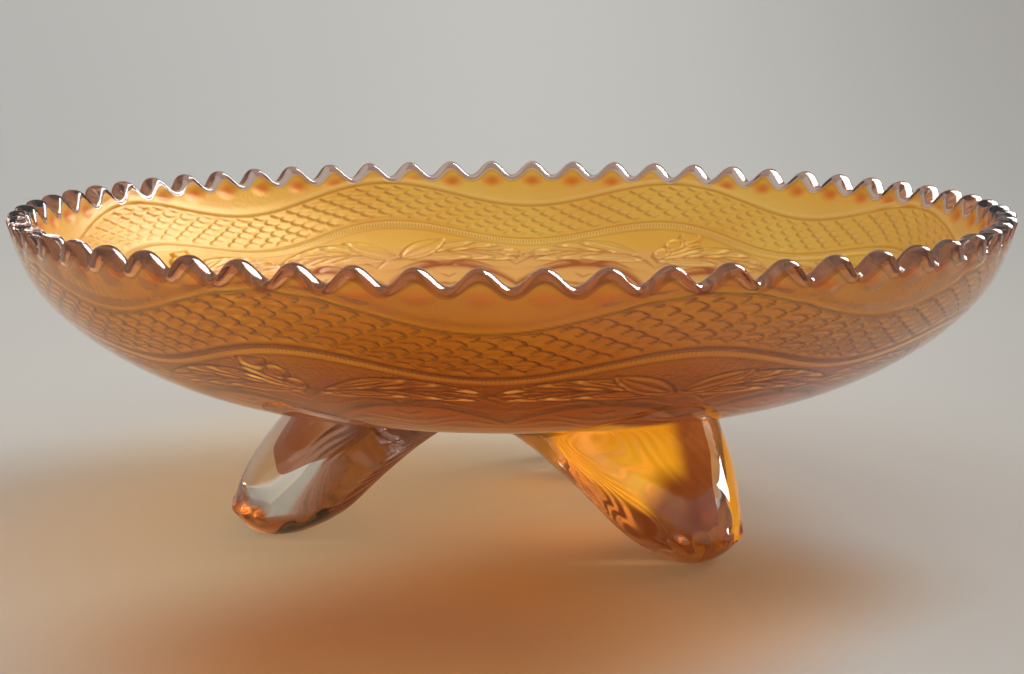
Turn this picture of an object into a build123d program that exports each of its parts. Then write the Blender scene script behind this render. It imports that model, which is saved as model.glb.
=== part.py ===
from build123d import *
from math import exp, hypot, radians, tan
import os

# Shallow pressed-glass bowl with a scalloped rim, standing on three spatula feet.
# Millimetres.  Origin: on the table, on the bowl's axis.  +Z up.

# ---- driving dimensions -------------------------------------------------------------------------
RIM_RADIUS = 110.0          # over the scallop tips
TOTAL_HEIGHT = 71.0         # table to scallop tips
RIM_WALL = 4.4              # glass thickness at the rim
FLOOR_GLASS = 5.6           # glass thickness in the middle of the floor
UNDERSIDE_HEIGHT = 26.0     # table to the underside, on the axis

SCALLOPS = 60
SCALLOP_DEPTH = 3.8         # tip to valley
LOBE_SHARE = 0.62           # share of each wave's curvature that belongs to the rounded lobe
RIM_ROUNDING = 1.5          # fire-polished edge
VALLEY_HEIGHT = TOTAL_HEIGHT - SCALLOP_DEPTH
CLEAR_ABOVE = TOTAL_HEIGHT + SCALLOP_DEPTH
GAP_REACH = 2 * RIM_WALL    # how far the cut for a scallop's gap runs in from the rim
WAVE_EDGE_BAND = SCALLOP_DEPTH + 0.5    # every edge of the scalloped rim lies this near the top
LEVEL_RADIUS_CHANGE = 0.9   # an edge that runs round the rim changes its radius by less than this
AXIS_CLEARANCE = 1.0

# Name and bearing in degrees.  The feet are finished by hand, a few degrees off even thirds.
FEET = {"foot_left": 185.0, "foot_right": -58.0, "foot_back": 59.0}
FOOT_SECTION_HEIGHTS = (0.0, 3.0, 7.0, 12.0, 18.0, 25.0, 33.0, 42.0)
TOE_RADIUS = 53.3           # the toe's middle, from the axis
TOE_LEAN = 0.38             # how fast a foot leans in towards the axis just above the toe
TOE_CURL = 0.0167           # how fast that lean grows with height
TOE_DEPTH = 14.0            # half of the foot's radial size above its rounded toe
DEPTH_GROWTH = 0.11         # growth of that half size per millimetre of height
TOE_TAPER = 0.42            # share of the half size lost at the table
TOE_TAPER_HEIGHT = 5.0      # height over which the taper fades
TOE_HALF_WIDTH = 7.6
FOOT_SPREAD = 0.64          # growth of the half width per millimetre of height
TOE_ROUNDING = 2.8

# ---- bowl profile -------------------------------------------------------------------------------
# Outer curve, from the underside's middle to the rim: a nearly flat floor, a shallow shoulder,
# then a side that steepens to upright at the edge.
OUTER_CURVE = (
    (0.0, UNDERSIDE_HEIGHT),
    (33.0, 27.0),
    (55.0, 30.8),
    (72.0, 34.4),
    (88.3, 42.0),
    (98.7, 49.9),
    (105.8, 59.0),
    (RIM_RADIUS, TOTAL_HEIGHT),
)
INNER_CURVE = (
    (0.0, UNDERSIDE_HEIGHT + FLOOR_GLASS),
    (33.0, 32.4),
    (54.0, 36.0),
    (70.0, 39.6),
    (85.0, 46.6),
    (94.6, 53.2),
    (101.2, 61.0),
    (RIM_RADIUS - RIM_WALL, TOTAL_HEIGHT),
)
AXIS_TANGENT = (1, 0)
RIM_TANGENT = (0.27, 1)


def half_profile(points):
    """One smooth curve in the XZ plane, level on the axis and nearly upright at the rim."""
    return Spline(*points, tangents=(AXIS_TANGENT, RIM_TANGENT))


def scallop_arcs(radius):
    """Half pitch, lobe arc and the point where lobe and valley arcs meet smoothly, at one radius."""
    half_pitch = radius * tan(radians(180 / SCALLOPS))
    arc_sum = (half_pitch**2 + SCALLOP_DEPTH**2) / (2 * SCALLOP_DEPTH)
    lobe_arc = LOBE_SHARE * arc_sum
    valley_share = 1 - LOBE_SHARE
    meet_x = half_pitch * valley_share
    meet_z = VALLEY_HEIGHT + SCALLOP_DEPTH * valley_share
    return half_pitch, lobe_arc, meet_x, meet_z


def foot_section(height):
    """Centre radius, radial half size and half width of a spatula foot at one height."""
    centre = TOE_RADIUS - TOE_LEAN * height - TOE_CURL * height**2
    taper = 1 - TOE_TAPER * exp(-height / TOE_TAPER_HEIGHT)
    depth = (TOE_DEPTH + DEPTH_GROWTH * height) * taper
    width = TOE_HALF_WIDTH + FOOT_SPREAD * height
    return centre, depth, width


def distance_from_axis(point):
    return hypot(point.X, point.Y)


# ---- the solid under the bowl's outer surface, which the feet are fitted against ---------------
with BuildPart() as outer_form:
    with BuildSketch(Plane.XZ):
        with BuildLine():
            half_profile(OUTER_CURVE)
            Line((RIM_RADIUS, TOTAL_HEIGHT), (0, TOTAL_HEIGHT))
            Line((0, TOTAL_HEIGHT), (0, UNDERSIDE_HEIGHT))
        make_face()
    revolve(axis=Axis.Z)

# ---- one gap of the scalloped edge --------------------------------------------------------------
with BuildPart() as rim_gap:
    for radius in (RIM_RADIUS - GAP_REACH, RIM_RADIUS + RIM_WALL):
        half_pitch, lobe_arc, meet_x, meet_z = scallop_arcs(radius)
        with BuildSketch(Plane(origin=(radius, 0, 0), x_dir=(0, 1, 0), z_dir=(1, 0, 0))):
            with BuildLine():
                RadiusArc((-half_pitch, TOTAL_HEIGHT), (-meet_x, meet_z), lobe_arc)
                ThreePointArc((-meet_x, meet_z), (0, VALLEY_HEIGHT), (meet_x, meet_z))
                RadiusArc((meet_x, meet_z), (half_pitch, TOTAL_HEIGHT), lobe_arc)
                Polyline(
                    (half_pitch, TOTAL_HEIGHT),
                    (half_pitch, CLEAR_ABOVE),
                    (-half_pitch, CLEAR_ABOVE),
                    (-half_pitch, TOTAL_HEIGHT),
                )
            make_face()
    loft(ruled=True)

# ---- bowl ---------------------------------------------------------------------------------------
with BuildPart() as bowl:
    with BuildSketch(Plane.XZ):
        with BuildLine():
            half_profile(OUTER_CURVE)
            half_profile(INNER_CURVE)
            Line((RIM_RADIUS, TOTAL_HEIGHT), (RIM_RADIUS - RIM_WALL, TOTAL_HEIGHT))
            Line((0, UNDERSIDE_HEIGHT), (0, UNDERSIDE_HEIGHT + FLOOR_GLASS))
        make_face()
    revolve(axis=Axis.Z)
    with PolarLocations(0, SCALLOPS):
        add(rim_gap.part, mode=Mode.SUBTRACT)
    edge_band = bowl.edges().filter_by(lambda e: e.bounding_box().min.Z > TOTAL_HEIGHT - WAVE_EDGE_BAND)
    edge_lines = edge_band.filter_by(lambda e: distance_from_axis(e.center()) > AXIS_CLEARANCE)
    wave_edges = edge_lines.filter_by(
        lambda e: abs(distance_from_axis(e @ 0) - distance_from_axis(e @ 1)) < LEVEL_RADIUS_CHANGE
    )
    fillet(wave_edges, RIM_ROUNDING)

os.makedirs("parts", exist_ok=True)
bowl.part.label = "bowl"
export_step(bowl.part, "parts/bowl.step")

# ---- feet ---------------------------------------------------------------------------------------
for foot_name, bearing in FEET.items():
    with BuildPart() as foot:
        for height in FOOT_SECTION_HEIGHTS:
            centre, depth, width = foot_section(height)
            with BuildSketch(Plane.XY.offset(height)):
                with PolarLocations(centre, 1, start_angle=bearing):
                    Ellipse(depth, width)
        loft()
        fillet(foot.edges().group_by(Axis.Z)[0], TOE_ROUNDING)
        add(outer_form.part, mode=Mode.SUBTRACT)
    foot.part.label = foot_name
    export_step(foot.part, f"parts/{foot_name}.step")
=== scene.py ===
import math

import bpy
import numpy as np
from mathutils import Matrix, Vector


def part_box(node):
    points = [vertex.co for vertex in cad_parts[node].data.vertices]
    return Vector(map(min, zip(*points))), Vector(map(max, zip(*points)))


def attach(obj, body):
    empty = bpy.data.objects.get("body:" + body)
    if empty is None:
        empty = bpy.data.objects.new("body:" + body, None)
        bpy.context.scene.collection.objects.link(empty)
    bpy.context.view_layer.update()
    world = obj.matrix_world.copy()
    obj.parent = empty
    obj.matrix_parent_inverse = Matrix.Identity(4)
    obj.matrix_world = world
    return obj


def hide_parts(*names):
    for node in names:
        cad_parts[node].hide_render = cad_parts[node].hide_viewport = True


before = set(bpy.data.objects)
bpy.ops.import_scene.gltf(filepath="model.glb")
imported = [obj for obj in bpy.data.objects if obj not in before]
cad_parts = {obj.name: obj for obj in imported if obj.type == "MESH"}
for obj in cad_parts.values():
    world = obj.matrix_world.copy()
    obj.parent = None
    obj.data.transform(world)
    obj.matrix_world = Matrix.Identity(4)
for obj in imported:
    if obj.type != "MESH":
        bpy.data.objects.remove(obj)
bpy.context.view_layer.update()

MM = 0.001
TAU = 2 * math.pi

# ---- sizes of the bowl, in millimetres ----------------------------------------------------------
bowl_low, bowl_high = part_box("bowl")
TOP = bowl_high.z / MM
UNDERSIDE = bowl_low.z / MM
SCALLOPS = 60
HALF_PITCH = math.pi / SCALLOPS
RIM_RADIUS = bowl_high.x / MM / math.cos(HALF_PITCH)      # the tips stand half a pitch off the X axis
WALL = 4.4
FLOOR_GLASS = 5.6
SCALLOP_DEPTH = 3.7
TIP_NARROWING = 0.04        # share of a second, twice as fast wave that opens the valleys out
FOOT_BEARINGS = {"foot_left": 185.0, "foot_right": -58.0, "foot_back": 59.0}

# ---- where the pattern lies, in millimetres down the inner wall from the rim ---------------------
WAVES = 8                                    # waves of the two ribs round the bowl
TROUGH_BEARING = math.radians(-104.5)        # one place where the ribs dip furthest from the rim
UPPER_RIB = 8.1
LOWER_RIB = 20.6
RIB_SWING = 3.6
RIB_HALF = 1.1
LEDGE_HEIGHT = 0.28
ROPE_HEIGHT = 0.4
ROPE_BELOW_RIB = 0.8        # the roped bead's middle, below the lower rib's line
SCALES_ROUND = 120
SCALE_ROWS = 5
SCALE_POINT = 0.78          # how far a scale's edge falls back, in scales, one row away from its tip
SCALE_STEEPNESS = 0.46      # sine of the edge's slope against the row
SCALE_HEIGHT = 0.36
LEAF_SPINE = 31.4
LEAF_LENGTH = 33.0
LEAF_ARCH = 2.6             # how far a long leaf bows towards the rim
FLOOR_START = 30.0

# ---- the floor's petals, in millimetres from the bowl's axis --------------------------------------
# Each row: the radius of its petals' tips, how many there are, and the turn of the row in petals.
PETAL_ROWS = (
    (97.0, 14, 0.5),
    (82.5, 14, 0.0),
    (66.0, 14, 0.5),
    (49.0, 12, 0.25),
    (33.0, 10, 0.0),
    (18.0, 8, 0.5),
)
PETAL_SAG = 8.5             # how far a petal's corners lie inside its tip
VEIN_PITCH = 3.1
VEIN_WAVER = 0.22           # in vein pitches
BOSS_RADIUS = 8.0           # the plain dome in the floor's middle

# ---- the thumb mark below each scallop, in millimetres ---------------------------------------------
THUMB_DOWN = 5.2
THUMB_HALF_WIDTH = 4.2
THUMB_HALF_HEIGHT = 2.5
THUMB_DEPTH = 0.45


# ---- profile curves -----------------------------------------------------------------------------
def smooth_curve(points, start, end, samples=1600):
    """A cubic spline through points with given end directions, with its running length."""
    knots = np.array(points, float)
    place = np.concatenate([[0], np.cumsum(np.hypot(*np.diff(knots, axis=0).T))])
    count = len(knots)
    gap = np.diff(place)
    matrix = np.zeros((count, count))
    known = np.zeros((count, 2))
    matrix[0, 0] = matrix[-1, -1] = 1
    known[0] = np.array(start) / np.hypot(*start)
    known[-1] = np.array(end) / np.hypot(*end)
    for i in range(1, count - 1):
        matrix[i, i - 1] = 1 / gap[i - 1]
        matrix[i, i] = 2 / gap[i - 1] + 2 / gap[i]
        matrix[i, i + 1] = 1 / gap[i]
        before = (knots[i] - knots[i - 1]) / gap[i - 1] ** 2
        after = (knots[i + 1] - knots[i]) / gap[i] ** 2
        known[i] = 3 * (before + after)
    slope = np.linalg.solve(matrix, known)
    along = np.linspace(0, place[-1], samples)
    k = np.clip(np.searchsorted(place, along) - 1, 0, count - 2)
    w = ((along - place[k]) / gap[k])[:, None]
    span = gap[k][:, None]
    out = (
        (2 * w**3 - 3 * w**2 + 1) * knots[k]
        + (w**3 - 2 * w**2 + w) * span * slope[k]
        + (3 * w**2 - 2 * w**3) * knots[k + 1]
        + (w**3 - w**2) * span * slope[k + 1]
    )
    run = np.concatenate([[0], np.cumsum(np.hypot(*np.diff(out, axis=0).T))])
    return run, out[:, 0], out[:, 1]


OUTER_POINTS = (
    (RIM_RADIUS, TOP), (105.8, 59.0), (98.7, 49.9), (88.3, 42.0),
    (72.0, 34.4), (55.0, 30.8), (33.0, 27.0), (0.0, UNDERSIDE),
)
INNER_POINTS = (
    (RIM_RADIUS - WALL, TOP), (101.2, 61.0), (94.6, 53.2), (85.0, 46.6),
    (70.0, 39.6), (54.0, 36.0), (33.0, 32.4), (0.0, UNDERSIDE + FLOOR_GLASS),
)
outer_run, outer_r, outer_z = smooth_curve(OUTER_POINTS, (-0.2, -1), (-1, 0))
inner_run, inner_r, inner_z = smooth_curve(INNER_POINTS, (-0.3, -1), (-1, 0))


def on_outer(u):
    """Radius and height of the outer wall, a distance u down it from the rim."""
    return np.interp(u, outer_run, outer_r), np.interp(u, outer_run, outer_z)


def on_inner(u):
    """Radius and height of the inner wall, a distance u down it from the rim."""
    return np.interp(u, inner_run, inner_r), np.interp(u, inner_run, inner_z)


def inner_normal(u):
    """Unit direction towards the hollow, square to the inner curve."""
    r = np.gradient(inner_r, inner_run)
    z = np.gradient(inner_z, inner_run)
    nr, nz = np.interp(u, inner_run, z), -np.interp(u, inner_run, r)
    size = np.hypot(nr, nz)
    return nr / size, nz / size


# ---- small shapes used by the relief ------------------------------------------------------------
def bump(x, half):
    """1 at x = 0, falling smoothly to 0 at half."""
    t = np.clip(np.abs(x) / half, 0, 1)
    return 0.5 + 0.5 * np.cos(math.pi * t)


def step(x, low, high):
    """0 below low, 1 above high, and smooth between them."""
    t = np.clip((x - low) / (high - low), 0, 1)
    return t * t * (3 - 2 * t)


def wave(angle):
    """+1 in a trough, which is furthest from the rim, and -1 at a peak."""
    return np.cos(WAVES * (angle - TROUGH_BEARING))


def lobe(angle):
    """1 at a scallop's tip, 0 in the valley."""
    return 0.5 - 0.5 * np.cos(SCALLOPS * angle) - TIP_NARROWING * (1 - np.cos(2 * SCALLOPS * angle))


def lobe_slope(angle):
    """How fast the lobe rises round the bowl, per radian."""
    return SCALLOPS * (0.5 * np.sin(SCALLOPS * angle) - 2 * TIP_NARROWING * np.sin(2 * SCALLOPS * angle))


class Layer:
    """What is pressed into the inner wall so far: a height into the hollow, and masks for the colour, among
    them painted highlight and painted shade.
    """

    def __init__(self, shape):
        self.height = np.zeros(shape)
        self.line = np.zeros(shape)
        self.red = np.zeros(shape)
        self.painted_highlight = np.zeros(shape)
        self.rope = np.zeros(shape)

    def copy(self):
        """A second layer with the same height, line and red, to lay other shapes over."""
        other = Layer(self.height.shape)
        other.height = self.height.copy()
        other.line = self.line.copy()
        other.red = self.red.copy()
        return other

    def cover(self, inside, height, line=0.0, red=0.0):
        """Lay a shape over what is there, where inside is 1."""
        keep = 1 - inside
        self.height = self.height * keep + height * inside
        self.line = self.line * keep + line * inside
        self.red = self.red * keep + red * inside
        self.painted_highlight = self.painted_highlight * keep


# ---- the pressed pattern ------------------------------------------------------------------------
def add_ribs(layer, to_upper, to_lower):
    """The upper rib is a plain ledge; the lower one is a roped bead."""
    layer.height += LEDGE_HEIGHT * step(to_upper, -1.8, 0.3) * (1 - step(to_upper, 0.5, 1.0))
    # painted shade: a dark line under the ledge; painted highlight: lighter on the ledge and the band above
    # it
    layer.line += 0.95 * bump(to_upper - 0.95, 0.45)
    layer.painted_highlight += 0.7 * bump(to_upper + 0.1, 0.9) + 0.2 * bump(to_upper + 2.2, 2.6)
    to_rope = to_lower - ROPE_BELOW_RIB
    layer.height += ROPE_HEIGHT * bump(to_rope, 1.1)
    # painted shade: dark lines above and below the roped bead; painted highlight: lighter along the bead
    layer.line += bump(to_lower + 0.5, 0.5) + 0.6 * bump(to_lower - 2.2, 0.45)
    layer.painted_highlight += 0.6 * bump(to_rope, 1.0)
    layer.rope = bump(to_rope, 1.0)


def add_scales(layer, angle, to_upper, u, radius):
    """Overlapping scales between the two ribs, pointing round the bowl; odd rows are half a scale on."""
    low = RIB_HALF + 0.5
    high = LOWER_RIB - UPPER_RIB - RIB_HALF - 0.5
    band = step(to_upper, low - 0.3, low + 0.2) * (1 - step(to_upper, high - 0.2, high + 0.3))
    pitch = TAU / SCALES_ROUND
    raised = np.zeros(angle.shape)
    line = np.zeros(angle.shape)
    for odd in (0, 1):
        # rows are laid from the tip's own height, so that a scale stays straight where the ribs slope
        tip_angle = (np.ceil(angle / pitch - 0.5 * odd) + 0.5 * odd) * pitch
        down = u - UPPER_RIB - RIB_SWING * wave(tip_angle) - low
        across = down / (high - low) * SCALE_ROWS
        off = across - 2 * np.round((across - odd) / 2) - odd
        behind = (tip_angle - angle) / pitch - SCALE_POINT * np.abs(off) ** 1.15
        reach = np.where(off < 0, 0.85 - 0.85 * step(-off, 0.32, 0.56), 1.2 - 1.2 * step(off, 0.42, 0.72))
        tongue = np.clip(1 - behind / 0.9, 0, 1) * (behind > 0) * (1 - step(np.abs(off), 0.3, 0.7))
        raised = np.maximum(raised, tongue)
        from_edge = behind * pitch * radius * SCALE_STEEPNESS
        line = np.maximum(line, reach * np.exp(-((from_edge / np.where(behind > 0, 0.22, 0.28)) ** 2)))
    # painted shade: dark lines along the scales' edges; painted highlight: lighter on the raised tongues
    layer.height += band * SCALE_HEIGHT * raised
    layer.line += 0.95 * band * line
    layer.painted_highlight += band * 0.5 * raised**2


def add_blade(layer, x, y, root, length, width, tilt):
    """One pointed blade from root, with raised edges and a raised midrib that has a groove beside it."""
    c, s = math.cos(tilt), math.sin(tilt)
    dx, dy = x - root[0], y - root[1]
    along, across = c * dx + s * dy, c * dy - s * dx
    t = along / length
    within = (t > 0) & (t < 1)
    half = width / 2 * np.sin(math.pi * np.clip(t, 0, 1) ** 0.85) ** 0.8
    edge = np.where(within, half - np.abs(across), -1.0)
    inside = step(edge, -0.35, 0.15)
    dome = 0.35 + 0.45 * bump(edge - 0.55, 0.6) + 0.25 * bump(across, 0.5)
    # painted shade: dark lines beside the midrib and round the blade's edge; painted highlight: lighter along
    # the midrib
    layer.cover(inside, dome, line=0.5 * bump(across - 0.45, 0.4))
    layer.painted_highlight += inside * 0.9 * bump(across, 0.6)
    layer.line += 1.0 * bump(edge + 0.28, 0.5) * (edge > -0.9)


def add_long_leaf(layer, x, y):
    """A leaf of overlapping blades along a low arch, drawn from its tip back to its root."""
    arch = np.sin(math.pi * np.clip(x / LEAF_LENGTH, 0.01, 0.99))
    y = (y - LEAF_ARCH * arch) / (0.35 + 0.65 * arch**0.6)
    add_blade(layer, x, y, (LEAF_LENGTH - 15.0, 0.0), 15.0, 2.8, 0.0)
    for out in (12.5, 6.5, 0.5):
        add_blade(layer, x, y, (out + 1.5, 1.1), 19.0, 3.6, 0.13)
        add_blade(layer, x, y, (out, -1.0), 18.0, 3.4, -0.11)


def add_leaves(layer, angle, u, radius):
    """Two long leaves under each peak of the lower rib, with a short pair or a bud between them in turn."""
    cell = TAU / WAVES
    from_peak = angle - TROUGH_BEARING - cell / 2
    index = np.round(from_peak / cell)
    x = (from_peak - index * cell) * radius
    side = np.abs(x)
    up = LEAF_SPINE - u
    add_long_leaf(layer, side - 1.0, up)
    has_bud = np.mod(index, 2) == 1
    pair = layer.copy()
    add_blade(pair, side, up, (0.3, 0.4), 15.5, 5.6, 0.46)
    bud = layer.copy()
    add_blade(bud, -x, up, (2.5, 0.4), 12.0, 1.8, 0.45)
    add_blade(bud, -x, up, (2.3, 1.2), 11.5, 1.9, 0.62)
    for cx, cy, size in ((-8.0, 10.0, 3.0), (-4.4, 6.6, 2.7), (-2.0, 2.9, 2.4)):
        gap = size - np.hypot(x - cx, 1.1 * (up - cy))
        bud.cover(step(gap, -0.3, 0.2), 0.45 + 0.55 * bump(gap - 0.5, 0.7))
        # painted shade: a dark ring round each knob of the bud
        bud.line += 0.9 * bump(gap + 0.25, 0.45)
    layer.height = np.where(has_bud, bud.height, pair.height)
    layer.line = np.where(has_bud, bud.line, pair.line)
    layer.red = np.where(has_bud, bud.red, pair.red)


def add_petals(layer, angle, u, r):
    """Rows of broad petals with rounded tips towards the rim; they fill the floor."""
    floor = Layer(u.shape)
    for top, count, turn in PETAL_ROWS:
        local = np.mod(angle * count / TAU + turn, 1.0) - 0.5
        edge = top - PETAL_SAG * np.abs(2 * local) ** 2.2 - r
        from_middle = np.abs(local) * TAU / count * r
        waver = VEIN_WAVER * np.sin(0.8 * from_middle + 0.6 * edge + 2.1 * count)
        slanted = np.mod((0.6 * from_middle + edge) / VEIN_PITCH + waver, 1.0) - 0.5
        vein = bump(slanted, 0.28) * step(edge, 2.2, 3.6) * (1 - step(edge, 11, 17))
        dome = 0.3 + 0.55 * np.exp(-np.clip(edge - 1, 0, None) / 2.5) + 0.28 * vein
        floor.cover(step(edge, -0.4, 0.3), dome, red=0.7 * vein)
        floor.red += bump(edge + 0.8, 2.8)
    boss = np.clip(1 - (r / BOSS_RADIUS) ** 2, 0, 1) ** 0.5
    floor.cover(step(BOSS_RADIUS - r, 0, 1), 0.3 + 0.8 * boss)
    share = step(u, FLOOR_START - 0.6, FLOOR_START + 0.6)
    layer.cover(share, floor.height, red=floor.red)


def relief(angle, u):
    """Pressed relief of the inner wall: height in mm into the hollow, and the colour masks."""
    r, _ = on_inner(u)
    swing = RIB_SWING * wave(angle)
    to_upper = u - UPPER_RIB - swing
    to_lower = u - LOWER_RIB - swing
    layer = Layer(u.shape)
    # each part of the pattern is worked out only on the rings that can reach it
    if u.max() > FLOOR_START - 1:
        add_petals(layer, angle, u, r)
    if LOWER_RIB < u.max() < LEAF_SPINE + 8:
        add_leaves(layer, angle, u, r)
    under_rib = step(to_lower, -1.0, 1.0)
    layer.height *= under_rib
    layer.line *= under_rib
    if u.min() < LOWER_RIB + 3 * RIB_SWING:
        add_scales(layer, angle, to_upper, u, r)
        add_ribs(layer, to_upper, to_lower)
    # a thumb mark below each scallop's tip
    sideways = (np.mod(angle / (2 * HALF_PITCH), 1.0) - 0.5) * 2 * HALF_PITCH * r
    from_thumb = np.hypot(sideways / THUMB_HALF_WIDTH, (u - THUMB_DOWN) / THUMB_HALF_HEIGHT)
    spot = bump(from_thumb, 1.0) * step(-to_upper, 0.2, 1.2)
    layer.height -= THUMB_DEPTH * spot
    masks = (layer.line, layer.red, spot, layer.painted_highlight, layer.rope, u / FLOOR_START)
    return layer.height, np.stack([np.clip(mask, 0, 1) for mask in masks], 1)


# ---- mesh building ------------------------------------------------------------------------------
class Skin:
    """Closed rings of points joined into one surface; a ring may have half or twice the last one's points."""

    def __init__(self, mark_names):
        self.mark_names = mark_names
        self.points, self.faces, self.kinds, self.marks = [], [], [], []
        self.last = None
        self.total = 0

    def ring(self, xyz, kind, marks=None):
        n = len(xyz)
        kinds = np.broadcast_to(kind, n)
        self.points.append(xyz)
        self.marks.append(marks if marks is not None else np.zeros((n, len(self.mark_names))))
        if self.last is not None:
            start, m = self.last
            j = np.arange(n)
            here, there = self.total + j, self.total + (j + 1) % n
            if m == n:
                quads = np.stack([start + j, start + (j + 1) % n, there, here], 1)
                self.faces += quads.tolist()
                self.kinds += kinds.tolist()
            elif m == 2 * n:
                a, b, c = start + 2 * j, start + 2 * j + 1, start + (2 * j + 2) % m
                self.faces += np.stack([a, b, c, there, here], 1).tolist()
                self.kinds += kinds.tolist()
            else:
                i = np.arange(m)
                a, b, c = self.total + 2 * i, self.total + 2 * i + 1, self.total + (2 * i + 2) % n
                self.faces += np.stack([start + i, start + (i + 1) % m, c, b, a], 1).tolist()
                self.kinds += kinds[:m].tolist()
        self.last = (self.total, n)
        self.total += n

    def cap(self, kind, flip=False):
        """Close the last ring with one flat face."""
        start, n = self.last
        face = list(range(start, start + n))
        self.faces.append(face[::-1] if flip else face)
        self.kinds.append(kind)

    def build(self, name, materials):
        mesh = bpy.data.meshes.new(name)
        mesh.from_pydata((np.concatenate(self.points) * MM).tolist(), [], self.faces)
        mesh.polygons.foreach_set("material_index", np.array(self.kinds, np.int32))
        mesh.polygons.foreach_set("use_smooth", np.ones(len(self.faces), bool))
        values = np.concatenate(self.marks)
        for i, mark in enumerate(self.mark_names):
            layer = mesh.attributes.new(mark, "FLOAT", "POINT")
            layer.data.foreach_set("value", values[:, i].astype(np.float32))
        for material in materials:
            mesh.materials.append(material)
        mesh.update()
        piece = bpy.data.objects.new(name, mesh)
        bpy.context.scene.collection.objects.link(piece)
        return piece


def ring_angles(count):
    """Bearings of a ring's points, evenly spread."""
    return np.arange(count) * TAU / count


FINEST = 1920
COARSEST = 30
HALVING_RADIUS = 62.0       # inside this radius a ring has half the points, and so on by halves
OUTER_SHARE = 2             # the smooth outer side has this many times fewer points


def count_for(radius):
    """How many points a ring of this radius has."""
    count, limit = FINEST, HALVING_RADIUS
    while radius < limit and count > COARSEST:
        count //= 2
        limit /= 2
    return count


def polar(r, z, angle):
    """Points in the row's frame from radius, height and bearing."""
    return np.stack([r * np.cos(angle), r * np.sin(angle), np.broadcast_to(z, r.shape)], 1)


# ---- the bowl -----------------------------------------------------------------------------------
BEAD = 1.2                  # height of the rounded edge above its middle line
BEAD_STEPS = 16
LUSTRE_START = 2.0          # the clear edge reaches this far down from a tip
RIM_SLOT, SIDE_SLOT, LUSTRE_SLOT = 0, 1, 2


def lean_out(angle, u):
    """The tips stand a little proud of the valleys."""
    return 0.5 * (lobe(angle) - 0.6) * np.clip(1 - (u - BEAD) / 6.0, 0, 1)


def outer_side(skin):
    """The smooth outer wall, from the middle of the underside up to the bead."""
    rows = np.concatenate([
        np.linspace(outer_run[-1] - 1.0, 60.0, 34),
        np.linspace(59.0, 14.0, 50),
        np.linspace(13.0, BEAD, 20),
    ])
    for i, u in enumerate(rows):
        middle, _ = on_outer(u)
        near_rim = u < 8
        angle = ring_angles(count_for(middle) // (1 if near_rim else OUTER_SHARE))
        sink = SCALLOP_DEPTH * (1 - lobe(angle)) * np.clip(1 - (u - BEAD) / 13.0, 0, 1) ** 1.3
        r, z = on_outer(u + sink)
        skin.ring(polar(r + lean_out(angle, u), z, angle), RIM_SLOT if u < LUSTRE_START else SIDE_SLOT)
        if i == 0:
            skin.cap(SIDE_SLOT, flip=True)


def rounded_edge(skin):
    """The fire-polished bead: a rounded bar along the wave, broader at its tips than in its valleys."""
    angle = ring_angles(FINEST)
    sink = SCALLOP_DEPTH * (1 - lobe(angle))
    slope = SCALLOP_DEPTH * lobe_slope(angle) / RIM_RADIUS
    upright = 1 / np.sqrt(1 + slope**2)
    ro, zo = on_outer(BEAD + sink)
    ri, zi = on_inner(BEAD + sink)
    ro = ro + lean_out(angle, BEAD)
    middle, half = (ro + ri) / 2, (ro - ri) / 2
    for i in range(1, BEAD_STEPS + 1):
        t = math.pi * i / BEAD_STEPS
        rise = BEAD * math.sin(t)
        r = middle + half * math.cos(t) * (1 + 0.05 * math.sin(t))
        z = zo + (zi - zo) * (1 - math.cos(t)) / 2 + rise * upright
        shift = -rise * slope * upright / RIM_RADIUS
        skin.ring(polar(r, z, angle + shift), RIM_SLOT)


def relief_side(skin):
    """The patterned inner wall, from the bead to the floor's middle, in rows that widen towards it."""
    rows = np.concatenate([
        np.arange(BEAD, 36.0, 0.35) + 0.35,
        np.arange(36.35, 60.0, 0.45),
        np.arange(60.0, inner_run[-1] - 1.5, 0.7),
    ])
    for u in rows:
        middle, _ = on_inner(u)
        angle = ring_angles(count_for(middle))
        sink = SCALLOP_DEPTH * (1 - lobe(angle)) * np.clip(1 - (u - BEAD) / 9.0, 0, 1) ** 1.5
        r, z = on_inner(u + sink)
        height, marks = relief(angle, u + sink)
        # a dark line where the lustre starts, below the bead
        marks[:, 0] = np.maximum(marks[:, 0], 0.55 * bump(u - LUSTRE_START - 0.4, 0.9))
        height = height * step(u, LUSTRE_START, LUSTRE_START + 0.8)
        nr, nz = inner_normal(u + sink)
        kind = LUSTRE_SLOT if u > LUSTRE_START else RIM_SLOT
        skin.ring(polar(r + nr * height, z + nz * height, angle), kind, marks)
    skin.cap(LUSTRE_SLOT)


def bowl_piece(materials):
    skin = Skin(("line", "red", "spot", "painted_highlight", "rope", "down"))
    outer_side(skin)
    rounded_edge(skin)
    relief_side(skin)
    return skin.build("pressed_bowl", materials)


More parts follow.
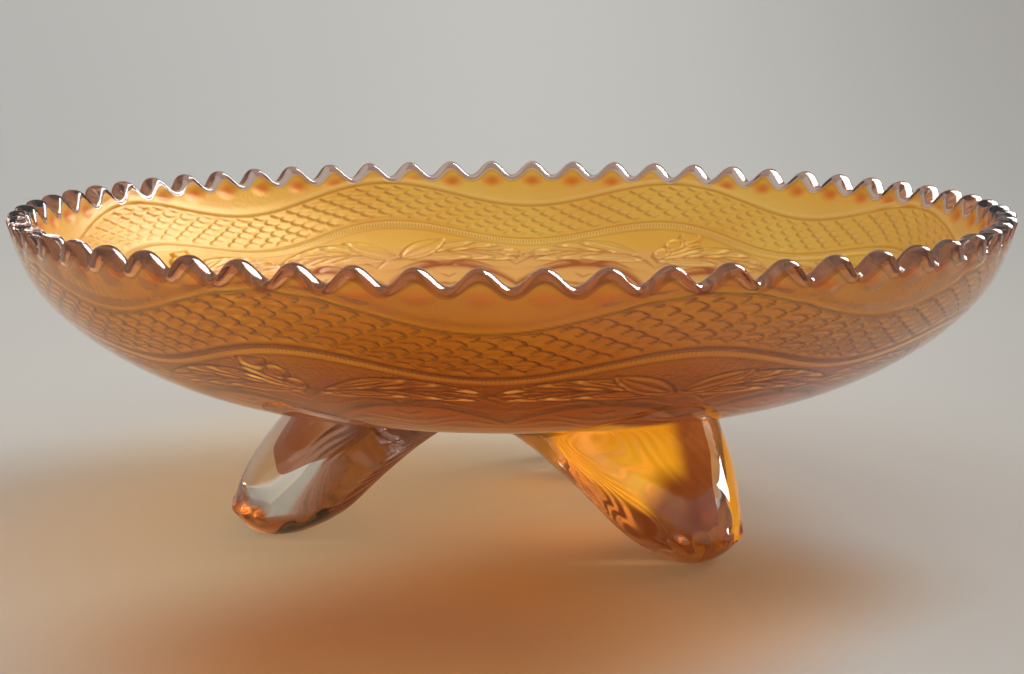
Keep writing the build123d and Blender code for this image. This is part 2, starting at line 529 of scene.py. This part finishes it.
# ---- feet ---------------------------------------------------------------------------------------
# Millimetres.  The toe's place, lean and taper and the foot's spread are those of the CAD model.
TOE_RADIUS = 53.3           # the toe's middle, from the axis
TOE_LEAN = 0.38             # how fast a foot leans in towards the axis just above the toe
TOE_CURL = 0.0167           # how fast that lean grows with height
TOE_DEPTH = 14.0            # half of the foot's radial size above its rounded toe
DEPTH_GROWTH = 0.11         # growth of that half size per millimetre of height
TOE_TAPER = 0.42            # share of the half size lost at the table
TOE_TAPER_HEIGHT = 5        # height over which the taper fades
TOE_HALF_WIDTH = 7.6
FOOT_SPREAD = 0.64          # growth of the half width per millimetre of height
TOE_ROUND = 6.5             # height over which the toe rounds in to the table
TOE_CONTACT = 0.36          # share of the section that is left at the table
SQUARENESS = 2.4            # power of the section's outline; 2 is an ellipse
INTO_BOWL = 0.8             # how far a foot's top runs into the bowl's glass
KNUCKLE_ANGLES = (-0.9, -0.45, 0.0, 0.45, 0.9)
KNUCKLE_HALF_TURN = 0.25    # half of a knuckle's width, in radians round the foot
KNUCKLE_HEIGHT = 6.0        # above the table
KNUCKLE_HALF_HEIGHT = 2.9
KNUCKLE_RISE = 0.8          # how far a knuckle stands out
FLUTE_DEPTH = 0.12
RIPPLE_DEPTH = 0.13
FLARE = 2.6                 # how far a foot widens where it joins the bowl
FOOT_AROUND = 360
FOOT_STEPS = 90
CLEAR_SLOT, GOLD_SLOT = 0, 1
GOLD_FROM_HEIGHT = 3        # the gold of the inner face starts this far above the table


def side_by(theta, middle):
    """Angle from a middle bearing, between minus and plus half a turn."""
    return np.mod(theta - middle + math.pi, TAU) - math.pi


def knuckles(height, theta):
    """Five small round knuckles side by side round the outer end of the toe."""
    up = (height - KNUCKLE_HEIGHT) / KNUCKLE_HALF_HEIGHT
    return sum(bump(np.hypot(side_by(theta, a) / KNUCKLE_HALF_TURN, up), 1.0) for a in KNUCKLE_ANGLES)


def foot_outline(height, theta):
    """A foot's surface in its own frame: x outwards from the bowl's axis, y across."""
    centre = TOE_RADIUS - TOE_LEAN * height - TOE_CURL * height**2
    depth = (TOE_DEPTH + DEPTH_GROWTH * height) * (1 - TOE_TAPER * np.exp(-height / TOE_TAPER_HEIGHT))
    width = TOE_HALF_WIDTH + FOOT_SPREAD * height
    near_table = np.clip(1 - height / TOE_ROUND, 0, 1)
    small = TOE_CONTACT + (1 - TOE_CONTACT) * np.sqrt(1 - near_table**2)
    c, s = np.cos(theta), np.sin(theta)
    power = 2 / SQUARENESS
    x = centre + depth * small * np.sign(c) * np.abs(c) ** power
    y = width * small * np.sign(s) * np.abs(s) ** power
    # small knuckles round the toe, shallow flutes up the outer face, ripples on the inner face
    out = KNUCKLE_RISE * knuckles(height, theta)
    out += FLUTE_DEPTH * np.cos(9 * theta + 0.25 * height) * step(height, 4, 12) * np.clip(c, 0, 1)
    inner = step(-c, 0.2, 0.6)
    ripple = np.sin(3.2 * y + 1.7 * np.sin(0.55 * height + 0.3 * y) + 0.5 * height)
    out += inner * RIPPLE_DEPTH * ripple * step(height, 3, 8)
    return x + out * c, y + out * s


def seat_height(x, y):
    """Height of a foot's top, just inside the bowl's glass."""
    return np.interp(np.hypot(x, y), outer_r[::-1], outer_z[::-1]) + INTO_BOWL


def foot_marks(theta, z, top):
    """Masks for the foot's colour: the orange toe, the inner face with its gold and painted light, and the
    share of the way up.
    """
    toe = np.clip(0.45 * np.clip(1 - z / 6.0, 0, 1) + knuckles(z, theta), 0, 1)
    inner = step(-np.cos(theta), 0.70, 0.88) * step(z, 7.0, 11.0)
    rise = z / top
    return np.stack([toe, inner, rise], 1)


def foot_piece(name, bearing, materials):
    theta = ring_angles(FOOT_AROUND)
    # the height at which each line up the foot meets the bowl, found by moving halfway to it each time
    top = np.full(theta.shape, 28.0)
    for _ in range(60):
        top = 0.5 * top + 0.5 * seat_height(*foot_outline(top, theta))
    turn = math.radians(bearing)

    def place(x, y, z):
        return np.stack([
            x * math.cos(turn) - y * math.sin(turn),
            x * math.sin(turn) + y * math.cos(turn),
            z,
        ], 1)

    skin = Skin(("toe", "inner", "rise"))
    kinds = np.where(np.cos(theta + TAU / FOOT_AROUND / 2) < -0.4, GOLD_SLOT, CLEAR_SLOT)
    table = np.zeros(theta.shape)
    x0, y0 = foot_outline(table, theta)
    middle = x0.mean()
    sole_marks = foot_marks(theta, table, top)
    for share in (0.25, 0.5, 0.75):
        skin.ring(place(middle + (x0 - middle) * share, y0 * share, table), CLEAR_SLOT, sole_marks)
        if share == 0.25:
            skin.cap(CLEAR_SLOT, flip=True)
    for i in range(FOOT_STEPS + 1):
        z = top * (i / FOOT_STEPS) ** 1.35
        x, y = foot_outline(z, theta)
        flare = FLARE * np.exp(-(top - z) / 2.2)
        size = np.hypot(x - x.mean(), y)
        x, y = x + flare * (x - x.mean()) / size, y + flare * y / size
        kind = kinds if z.mean() > GOLD_FROM_HEIGHT else CLEAR_SLOT
        skin.ring(place(x, y, z), kind, foot_marks(theta, z, top))
    for share in (0.8, 0.6, 0.4, 0.2):
        fx, fy = x.mean() + (x - x.mean()) * share, y * share
        fz = seat_height(fx, fy)
        skin.ring(place(fx, fy, fz), CLEAR_SLOT, foot_marks(theta, fz, top))
    skin.cap(CLEAR_SLOT)
    return skin.build("spatula_" + name, materials)


# ---- materials ----------------------------------------------------------------------------------
class Look:
    """A material with one Principled shader, and short ways to wire its colours."""

    def __init__(self, name, **values):
        self.material = bpy.data.materials.new(name)
        self.material.use_nodes = True
        self.nodes = self.material.node_tree.nodes
        self.links = self.material.node_tree.links
        self.shader = self.nodes["Principled BSDF"]
        for socket, value in values.items():
            self.shader.inputs[socket.replace("_", " ")].default_value = value

    def wire(self, value, socket):
        if isinstance(value, tuple):
            socket.default_value = (*value, 1)
        elif isinstance(value, (int, float)):
            socket.default_value = value
        else:
            self.links.new(value, socket)

    def mark(self, name):
        node = self.nodes.new("ShaderNodeAttribute")
        node.attribute_name = name
        return node.outputs["Fac"]

    def math(self, operation, a, b=0.0, clamp=False):
        node = self.nodes.new("ShaderNodeMath")
        node.operation = operation
        node.use_clamp = clamp
        self.wire(a, node.inputs[0])
        self.wire(b, node.inputs[1])
        return node.outputs[0]

    def bearing(self):
        """Direction round the upright axis, in radians."""
        coords = self.nodes.new("ShaderNodeTexCoord")
        parts = self.nodes.new("ShaderNodeSeparateXYZ")
        self.links.new(coords.outputs["Object"], parts.inputs[0])
        return self.math("ARCTAN2", parts.outputs["Y"], parts.outputs["X"])

    def mix(self, share, a, b):
        node = self.nodes.new("ShaderNodeMix")
        node.data_type = "RGBA"
        self.wire(share, node.inputs["Factor"])
        self.wire(a, node.inputs["A"])
        self.wire(b, node.inputs["B"])
        return node.outputs["Result"]

    def noise(self, scale, detail=3.0, stretch=(1, 1, 1)):
        coords = self.nodes.new("ShaderNodeTexCoord")
        place = self.nodes.new("ShaderNodeMapping")
        place.inputs["Scale"].default_value = stretch
        node = self.nodes.new("ShaderNodeTexNoise")
        node.inputs["Scale"].default_value = scale
        node.inputs["Detail"].default_value = detail
        self.links.new(coords.outputs["Object"], place.inputs["Vector"])
        self.links.new(place.outputs["Vector"], node.inputs["Vector"])
        return node.outputs["Fac"]

    def bump(self, height, strength, distance):
        node = self.nodes.new("ShaderNodeBump")
        node.inputs["Strength"].default_value = strength
        node.inputs["Distance"].default_value = distance
        self.links.new(height, node.inputs["Height"])
        self.links.new(node.outputs["Normal"], self.shader.inputs["Normal"])

    def color(self, value):
        self.wire(value, self.shader.inputs["Base Color"])

    # emission used as painted light: the surface shines though no lamp stands there
    def painted_glow(self, value):
        self.wire(value, self.shader.inputs["Emission Color"])
        self.shader.inputs["Emission Strength"].default_value = 1.0


ROPE_STRANDS = 720.0        # strands of the roped rib, all round the bowl


def marigold_lustre():
    """Thin metallic lustre on the inner wall: golden from the hollow, deep orange through the glass; painted
    highlight and painted shade follow the relief, and painted shade darkens it towards the floor through the
    glass.
    """
    look = Look(
        "marigold_lustre", Transmission_Weight=0.5, Roughness=0.36, IOR=1.5, Specular_IOR_Level=0.02
    )
    look.shader.inputs["Specular Tint"].default_value = (1.0, 0.5, 0.1, 1)
    cloudy = look.math("MULTIPLY", look.math("SUBTRACT", look.noise(34, 4.0), 0.36), 3.2, clamp=True)
    low = look.mark("down")
    from_hollow = look.mix(cloudy, (1.0, 0.54, 0.042), (0.97, 0.41, 0.024))
    on_floor = look.math("MULTIPLY", look.math("SUBTRACT", low, 0.85), 6.0, clamp=True)
    from_hollow = look.mix(on_floor, from_hollow, (0.97, 0.41, 0.07))
    near_rim = look.mix(cloudy, (0.99, 0.48, 0.010), (0.95, 0.34, 0.004))
    # painted shade: seen through the glass the lustre darkens towards the floor
    shaded_near_floor = look.mix(cloudy, (0.50, 0.062, 0.001), (0.40, 0.036, 0.0008))
    through_glass = look.mix(low, near_rim, shaded_near_floor)
    behind = look.nodes.new("ShaderNodeNewGeometry").outputs["Backfacing"]
    # painted highlight: the relief's crests are made lighter, cream from the hollow and gold through the
    # glass
    painted_highlight = look.mark("painted_highlight")
    from_hollow = look.mix(look.math("MULTIPLY", painted_highlight, 0.7), from_hollow, (1.0, 0.63, 0.15))
    through_glass = look.mix(look.math("MULTIPLY", painted_highlight, 0.6), through_glass, (1.0, 0.40, 0.03))
    color = look.mix(behind, from_hollow, through_glass)
    thumb = look.mix(behind, (0.84, 0.13, 0.005), (1.0, 0.27, 0.010))
    color = look.mix(look.mark("spot"), color, thumb)
    # painted shade: the line mask darkens the relief's edges, brown from the hollow and near black through
    # the glass
    groove = look.mix(behind, (0.62, 0.21, 0.018), (0.11, 0.016, 0.002))
    color = look.mix(look.math("MULTIPLY", look.mark("line"), 0.95), color, groove)
    deep = look.mix(behind, (0.38, 0.045, 0.005), (0.18, 0.024, 0.002))
    color = look.mix(look.math("MULTIPLY", look.mark("red"), 0.97), color, deep)
    hatch = look.math("SINE", look.math("MULTIPLY", look.bearing(), ROPE_STRANDS))
    hatch = look.math("MULTIPLY", look.math("ADD", hatch, 0.2, clamp=True), look.mark("rope"))
    look.color(look.mix(look.math("MULTIPLY", hatch, 0.55), color, (0.30, 0.05, 0.004)))
    look.bump(look.noise(900, 2.0), 0.25, 0.0002)
    return look.material


def rim_glass():
    """The clear scalloped edge, tinted a little purple-brown."""
    look = Look("clear_rim_glass", Transmission_Weight=1.0, Roughness=0.02, IOR=1.5)
    look.color(look.mix(look.noise(60), (0.63, 0.43, 0.36), (0.50, 0.31, 0.27)))
    return look.material


def side_glass():
    """The clear outer wall, with faint waves from the mould."""
    look = Look(
        "clear_side_glass", Transmission_Weight=1.0, Roughness=0.03, IOR=1.5, Specular_IOR_Level=0.3
    )
    look.color(look.mix(look.noise(30), (0.98, 0.93, 0.85), (0.94, 0.86, 0.76)))
    look.bump(look.noise(45, 1.0), 0.2, 0.001)
    return look.material


def foot_glass():
    """Warm clear glass, pinker at the root and orange at the toe."""
    look = Look("clear_foot_glass", Transmission_Weight=1.0, Roughness=0.015, IOR=1.5)
    warm = look.mix(look.noise(70), (0.96, 0.89, 0.77), (0.93, 0.81, 0.64))
    root = look.math("MULTIPLY", look.math("SUBTRACT", look.mark("rise"), 0.62), 2.4, clamp=True)
    color = look.mix(root, warm, (0.74, 0.56, 0.66))
    color = look.mix(look.math("MULTIPLY", look.mark("toe"), 0.85), color, (0.84, 0.30, 0.08))
    look.color(color)
    return look.material


def foot_gold(name, clearness, edge, gold_light, gold_deep, painted_glow):
    """Lustre on a foot's inner face: gold with painted light shining from its middle, standing in for light
    that comes through the bowl, and a darker edge.
    """
    look = Look(name, Transmission_Weight=clearness, Roughness=0.2, IOR=1.5)
    gold = look.mix(look.noise(160, 3.0, (1, 1, 0.3)), gold_light, gold_deep)
    look.color(look.mix(look.mark("inner"), edge, gold))
    look.painted_glow(look.mix(look.mark("inner"), (0.0, 0.0, 0.0), painted_glow))
    return look.material


bowl = bowl_piece([rim_glass(), side_glass(), marigold_lustre()])
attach(bowl, "root")
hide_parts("bowl")

clear_foot = foot_glass()
strong_gold = foot_gold(
    "foot_lustre",
    clearness=0.45,
    edge=(0.50, 0.10, 0.010),
    gold_light=(1.0, 0.54, 0.015),
    gold_deep=(1.0, 0.34, 0.006),
    painted_glow=(0.52, 0.23, 0.005),
)
faint_gold = foot_gold(
    "foot_lustre_faint",
    clearness=0.80,
    edge=(0.42, 0.10, 0.03),
    gold_light=(0.60, 0.20, 0.06),
    gold_deep=(0.46, 0.13, 0.035),
    painted_glow=(0.02, 0.008, 0.002),
)
# The lustre and its painted light differ from foot to foot.  The hidden back foot is taken to be like the
# right one.
FOOT_GOLD = {"foot_left": faint_gold, "foot_right": strong_gold, "foot_back": strong_gold}
feet = []
for node, bearing in FOOT_BEARINGS.items():
    foot = foot_piece(node, bearing, [clear_foot, FOOT_GOLD[node]])
    feet.append(foot)
    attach(foot, "root")
    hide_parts(node)


# ---- stage --------------------------------------------------------------------------------------
CAMERA_AZIMUTH = math.radians(-12.0)


def from_camera_side(right, away, height):
    """A place given as metres to the camera's right and away from it, turned into the row's frame."""
    c, s = math.cos(CAMERA_AZIMUTH), math.sin(CAMERA_AZIMUTH)
    return Vector((right * c - away * s, right * s + away * c, height))


# Painted pools of light and shade that the bowl throws on the paper.  Each pool is given from the camera's
# side,
# in metres: its middle to the right and away, then half its width and depth.
WIDE_POOL = (-0.035, -0.01, 0.118, 0.17)
STRONG_POOL = (0.01, -0.065, 0.075, 0.075)
FRONT_POOL = (-0.02, -0.105, 0.09, 0.075)
SHADE_POOL = (0.043, -0.055, 0.06, 0.05)
# Where a toe throws a thin bright line on the table: right, away, colour of the light.
TOE_STREAKS = ((0.026, -0.0415, (0.17, 0.09, 0.035)), (-0.048, -0.0255, (0.19, 0.14, 0.08)))
STREAK_HALF_WIDTH = 0.020
STREAK_HALF_DEPTH = 0.0036


def stage_paper():
    """Matt paper, with painted shade that darkens it to the right and away.  Where the bowl throws its colour
    it has painted amber light and shade.
    """
    look = Look("stage_paper", Roughness=0.9)
    look.shader.inputs["Specular IOR Level"].default_value = 0.1
    position = look.nodes.new("ShaderNodeNewGeometry").outputs["Position"]

    def ramp(value, low, high):
        node = look.nodes.new("ShaderNodeMapRange")
        node.interpolation_type = "SMOOTHSTEP"
        node.inputs["From Min"].default_value = low
        node.inputs["From Max"].default_value = high
        look.links.new(value, node.inputs["Value"])
        return node.outputs["Result"]

    def along(direction):
        node = look.nodes.new("ShaderNodeVectorMath")
        node.operation = "DOT_PRODUCT"
        look.links.new(position, node.inputs[0])
        node.inputs[1].default_value = direction
        return node.outputs["Value"]

    right, away = along(from_camera_side(1, 0, 0)), along(from_camera_side(0, 1, 0))

    def from_pool(middle_right, middle_away, half_width, half_depth):
        """0 in a pool's middle and 1 at its edge."""
        across = look.math("DIVIDE", look.math("SUBTRACT", right, middle_right), half_width)
        deep = look.math("DIVIDE", look.math("SUBTRACT", away, middle_away), half_depth)
        across_squared = look.math("MULTIPLY", across, across)
        deep_squared = look.math("MULTIPLY", deep, deep)
        return look.math("SQRT", look.math("ADD", across_squared, deep_squared))

    # painted shade: the paper darkens away from the camera and to the right
    paper = look.mix(ramp(away, 0.0, 0.7), (0.59, 0.555, 0.50), (0.46, 0.45, 0.423))
    paper = look.mix(ramp(right, -0.05, 0.40), paper, (0.24, 0.23, 0.215))
    wide = ramp(from_pool(*WIDE_POOL), 0.1, 1.0)
    strong = ramp(from_pool(*STRONG_POOL), 0.0, 1.0)
    front = ramp(from_pool(*FRONT_POOL), 0.2, 1.0)
    # painted light and shade in the paper's colour: amber pools that the bowl throws, and a darker pool of
    # shade beside the right foot
    color = look.mix(strong, (0.70, 0.32, 0.08), look.mix(wide, (0.71, 0.56, 0.345), paper))
    color = look.mix(front, (0.49, 0.245, 0.10), color)
    shade = ramp(from_pool(*SHADE_POOL), 0.0, 1.0)
    look.color(look.mix(shade, (0.40, 0.27, 0.16), color))
    # painted light: the pools and the toes' streaks shine a little, as light thrown by the bowl
    painted_light = look.mix(wide, (0.145, 0.13, 0.075), (0.0, 0.0, 0.0))
    painted_light = look.mix(strong, (0.11, 0.04, 0.005), painted_light)
    painted_light = look.mix(front, (0.03, 0.01, 0.002), painted_light)
    for side, near, bright in TOE_STREAKS:
        streak = ramp(from_pool(side, near, STREAK_HALF_WIDTH, STREAK_HALF_DEPTH), 0.0, 1.0)
        painted_light = look.mix(streak, bright, painted_light)
    look.painted_glow(painted_light)
    return look.material


def backdrop():
    """A floor that curves up into a wall."""
    half_width, front, bend, radius, height = 3.6, -3.0, 0.55, 0.6, 1.7
    profile = [(front, 0.0), (bend, 0.0)]
    for a in np.linspace(0.1, math.pi / 2, 16):
        profile.append((bend + radius * math.sin(a), radius - radius * math.cos(a)))
    profile.append((bend + radius, height))
    verts, faces = [], []
    for away, up in profile:
        verts += [from_camera_side(-half_width, away, up), from_camera_side(half_width, away, up)]
    for i in range(len(profile) - 1):
        faces.append((2 * i, 2 * i + 1, 2 * i + 3, 2 * i + 2))
    mesh = bpy.data.meshes.new("backdrop")
    mesh.from_pydata(verts, [], faces)
    mesh.polygons.foreach_set("use_smooth", np.ones(len(faces), bool))
    mesh.materials.append(stage_paper())
    sheet = bpy.data.objects.new("backdrop", mesh)
    bpy.context.scene.collection.objects.link(sheet)
    return sheet


sheet = backdrop()

# ---- camera -------------------------------------------------------------------------------------
CAMERA_REACH = 0.462        # from the middle of the rim
CAMERA_ELEVATION = math.radians(6.03)
CAMERA_TILT = math.radians(9.75)
CAMERA_LENS = 72.9          # millimetres
CAMERA_SENSOR = 36
camera = bpy.data.objects.new("camera", bpy.data.cameras.new("camera"))
camera.data.lens = CAMERA_LENS
camera.data.sensor_width = CAMERA_SENSOR
camera.location = from_camera_side(
    0, -CAMERA_REACH * math.cos(CAMERA_ELEVATION), TOP * MM + CAMERA_REACH * math.sin(CAMERA_ELEVATION)
)
camera.rotation_euler = (math.pi / 2 - CAMERA_TILT, 0, CAMERA_AZIMUTH)
bpy.context.scene.collection.objects.link(camera)
bpy.context.scene.camera = camera


# ---- light --------------------------------------------------------------------------------------
def area_light(name, place, size, power):
    """A soft white light at a place given from the camera's side, shining at the origin."""
    light = bpy.data.lights.new(name, "AREA")
    light.shape = "RECTANGLE"
    light.size, light.size_y = size
    light.energy = power
    lamp = bpy.data.objects.new(name, light)
    lamp.location = from_camera_side(*place)
    lamp.rotation_euler = (-lamp.location).to_track_quat("-Z", "Y").to_euler()
    bpy.context.scene.collection.objects.link(lamp)
    return lamp


def shine_only_on(lamp, receivers):
    """Limit a light to some objects, so that it shapes the glass without washing out the rest."""
    lamp.light_linking.receiver_collection = bpy.data.collections.new("lit_by_" + lamp.name)
    for receiver in receivers:
        lamp.light_linking.receiver_collection.objects.link(receiver)


window = area_light("window", place=(0.75, 0.55, 0.75), size=(0.6, 0.7), power=9)
window.visible_glossy = False
# the glare stands just in front of the window and gives only the highlights
glare = area_light("glare", place=(0.71, 0.52, 0.71), size=(0.8, 0.8), power=38)
glare.visible_diffuse = False
glare.visible_transmission = False
# the back light shines through the bowl's wall
back = area_light("back", place=(0.0, 1.0, 0.29), size=(1.4, 0.3), power=2.2)
back.visible_glossy = False
shine_only_on(back, (bowl, sheet))
shine_only_on(glare, (bowl, *feet))
world = bpy.data.worlds.new("studio")
world.use_nodes = True
world.node_tree.nodes["Background"].inputs["Color"].default_value = (0.85, 0.86, 0.88, 1)
world.node_tree.nodes["Background"].inputs["Strength"].default_value = 0.80
bpy.context.scene.world = world
bpy.context.scene.view_settings.view_transform = "Standard"
